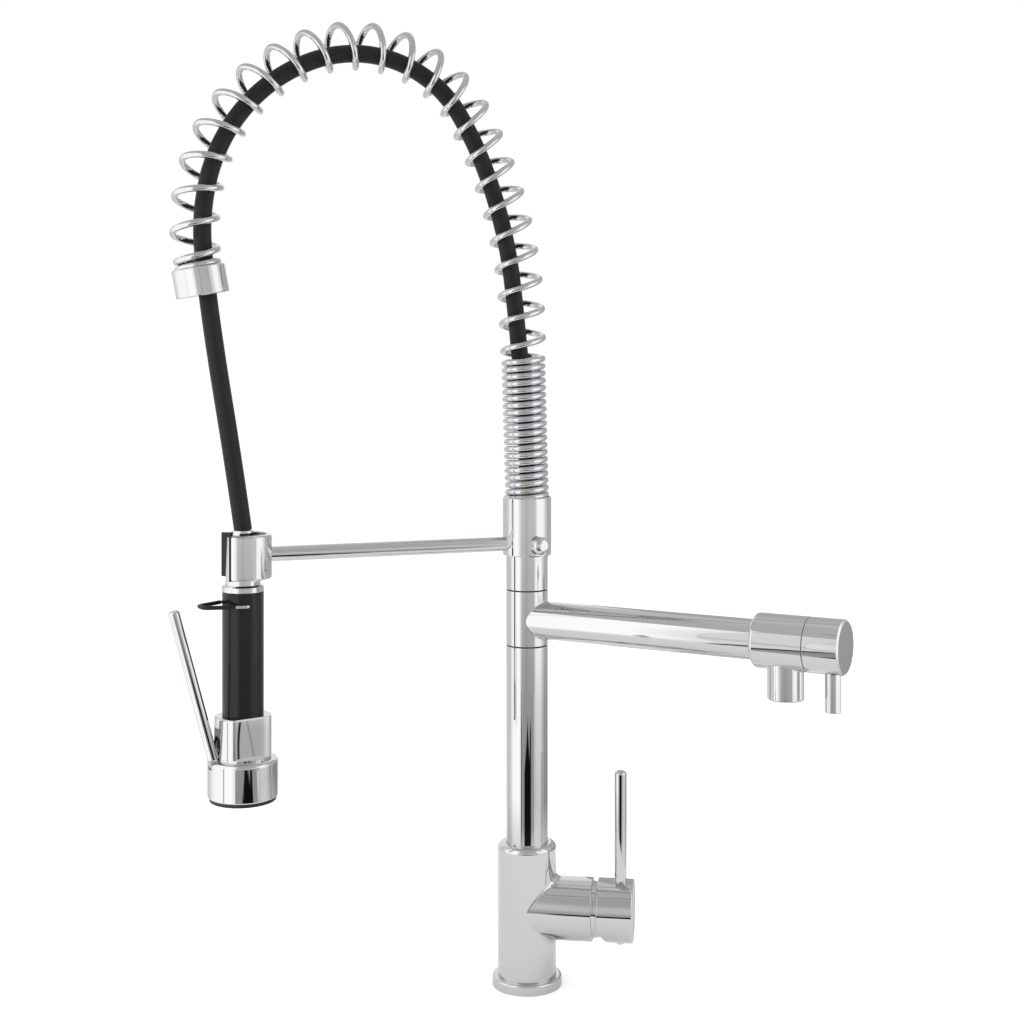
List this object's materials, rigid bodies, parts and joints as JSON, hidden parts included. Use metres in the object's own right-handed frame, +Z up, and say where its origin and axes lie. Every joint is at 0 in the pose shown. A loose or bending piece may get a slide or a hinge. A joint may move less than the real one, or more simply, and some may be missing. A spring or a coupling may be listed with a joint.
{
  "type": "kitchen faucet",
  "caption": "Tall chrome kitchen mixer with a coil-sprung hose arching to a trigger hand spray in a swinging holder, a swivelling spout with its own valve, and a side lever.",
  "frame": {"origin": "where the column's axis meets the worktop, at the underside of the base", "axes": "+Z up the column, -X along the arm that holds the hand spray, -Y towards the user"},
  "size_m": [0.4242, 0.2137, 0.6843],
  "materials": {
    "chrome": "polished chrome plating",
    "spring_steel": "polished plated wire",
    "black_rubber": "smooth black rubber",
    "grip_plastic": "satin black moulded grip",
    "black_plastic": "black moulded plastic",
    "hose_braid": "black woven sleeve over rubber",
    "white_plastic": "moulded acetal",
    "steel": "plain steel",
    "brass": "machined brass"
  },
  "bodies": {
    "base": {"base_flange": "chrome", "deck_gasket": "black_rubber", "mixer_body": "chrome", "mixing_cartridge": "white_plastic", "cartridge_nut": "brass", "cartridge_dome": "chrome", "lower_column": "chrome", "lower_washer": "black_plastic", "upper_washer": "black_plastic", "upper_column": "chrome", "riser_tube": "brass", "sleeve_orings": "black_rubber", "riser_nut": "brass"},
    "rotor": {"cartridge_rotor": "white_plastic", "stem_pin": "steel"},
    "handle": {"lever_stem": "steel", "handle_cap": "chrome", "handle_rod": "chrome", "handle_screw": "steel", "handle_plug": "chrome"},
    "spout": {"spout_sleeve": "chrome", "spout_tube": "chrome", "spout_valve_body": "chrome", "aerator": "white_plastic", "disc_cartridge": "brass"},
    "knob": {"valve_spindle": "brass", "valve_knob": "chrome", "knob_pin": "chrome"},
    "arm": {"arm_hub": "chrome", "arm_rod": "chrome", "holder_clip": "chrome", "holder_liner": "black_plastic", "coil_spring": "spring_steel", "spring_collar": "chrome", "hose_connector": "brass", "spray_hose": "hose_braid", "hose_ferrule": "chrome"},
    "clamp": {"clamp_screw": "chrome"},
    "spray": {"spray_neck": "chrome", "inner_tube": "white_plastic", "spray_grip": "grip_plastic", "valve_block": "chrome", "block_screw": "chrome", "spray_bell": "chrome", "lever_pin": "steel", "spray_bumper": "black_rubber", "spray_face": "black_plastic", "spray_diffuser": "white_plastic"},
    "trigger": {"lever_foot": "chrome", "trigger_lever": "chrome"},
    "plunger": {"valve_plunger": "white_plastic"},
    "bail": {"lock_bail": "chrome"}
  },
  "joints": [
    {"name": "handle_turn", "type": "hinge", "parent": "base", "child": "rotor", "pos_m": [0, 0, 0.0555], "axis": [0.8829, -0.4695, 0], "range_deg": [-45, 45]},
    {"name": "handle_lift", "type": "hinge", "parent": "rotor", "child": "handle", "pos_m": [0.0422, -0.02244, 0.0555], "axis": [0.4695, 0.8829, 0], "range_deg": [0, 20]},
    {"name": "spout_swivel", "type": "hinge", "parent": "base", "child": "spout", "pos_m": [0, 0, 0.263], "axis": [0, 0, 1], "range_deg": [-50, 110]},
    {"name": "valve_turn", "type": "hinge", "parent": "spout", "child": "knob", "pos_m": [0.13823, -0.15902, 0.263], "axis": [-0.6561, 0.7547, 0], "range_deg": [0, 90]},
    {"name": "arm_swivel", "type": "hinge", "parent": "base", "child": "arm", "pos_m": [0, 0, 0.3176], "axis": [0, 0, 1], "range_deg": [-70, 50]},
    {"name": "clamp_screw_turn", "type": "hinge", "parent": "arm", "child": "clamp", "pos_m": [0.00183, -0.0174, 0.3176], "axis": [0.1045, -0.9945, 0], "range_deg": [-180, 0]},
    {"name": "spray_swivel", "type": "hinge", "parent": "arm", "child": "spray", "pos_m": [-0.2052, 0, 0.3], "axis": [0, 0, 1], "continuous": true},
    {"name": "trigger_squeeze", "type": "hinge", "parent": "spray", "child": "trigger", "pos_m": [-0.22402, -0.00469, 0.1745], "axis": [-0.2419, 0.9703, 0], "range_deg": [0, 7], "stiffness_Nm_per_rad": 1.2, "springref_deg": -8.59},
    {"name": "plunger_push", "type": "slide", "parent": "spray", "child": "plunger", "axis": [0.9703, 0.2419, 0], "range_m": [0, 0.0021]},
    {"name": "bail_flip", "type": "hinge", "parent": "spray", "child": "bail", "pos_m": [-0.20763, -0.0006, 0.285], "axis": [-0.2419, 0.9703, 0], "range_deg": [-25, 30]}
  ],
  "couplings": [
    {"joint": "plunger_push", "follows": "trigger_squeeze", "m_per_rad": 0.016}
  ]
}
